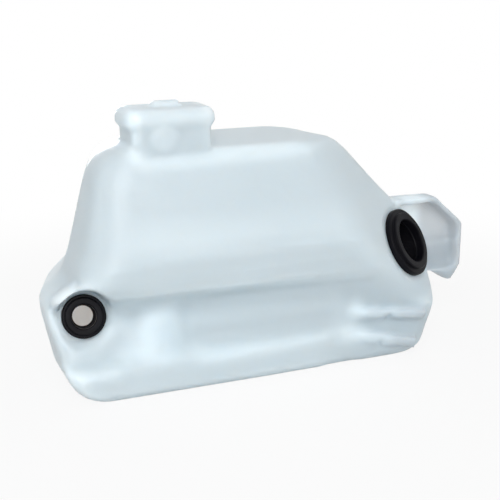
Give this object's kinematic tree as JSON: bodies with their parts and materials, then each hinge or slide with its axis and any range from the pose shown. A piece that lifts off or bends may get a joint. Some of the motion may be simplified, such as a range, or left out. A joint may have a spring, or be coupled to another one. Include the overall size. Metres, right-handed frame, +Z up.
{
  "type": "windscreen washer reservoir",
  "caption": "Blow-moulded washer fluid tank with an overhanging belly, a moulded head and hanger, and rubber grommets for the pump and the filler pipe.",
  "frame": {"origin": "on the underside of the foot, below the middle of the length and depth", "axes": "+X along the tank from the pump end to the hanger, -Y out of the front, +Z up"},
  "size_m": [0.3025, 0.098, 0.1785],
  "materials": {
    "natural_polyethylene": "milky, slightly see-through blow-moulded polyethylene with a soft gloss",
    "black_rubber": "smooth moulded black rubber, satin"
  },
  "bodies": {
    "root": {"tank": "natural_polyethylene", "pump_grommet": "black_rubber", "filler_grommet": "black_rubber"}
  },
  "joints": []
}
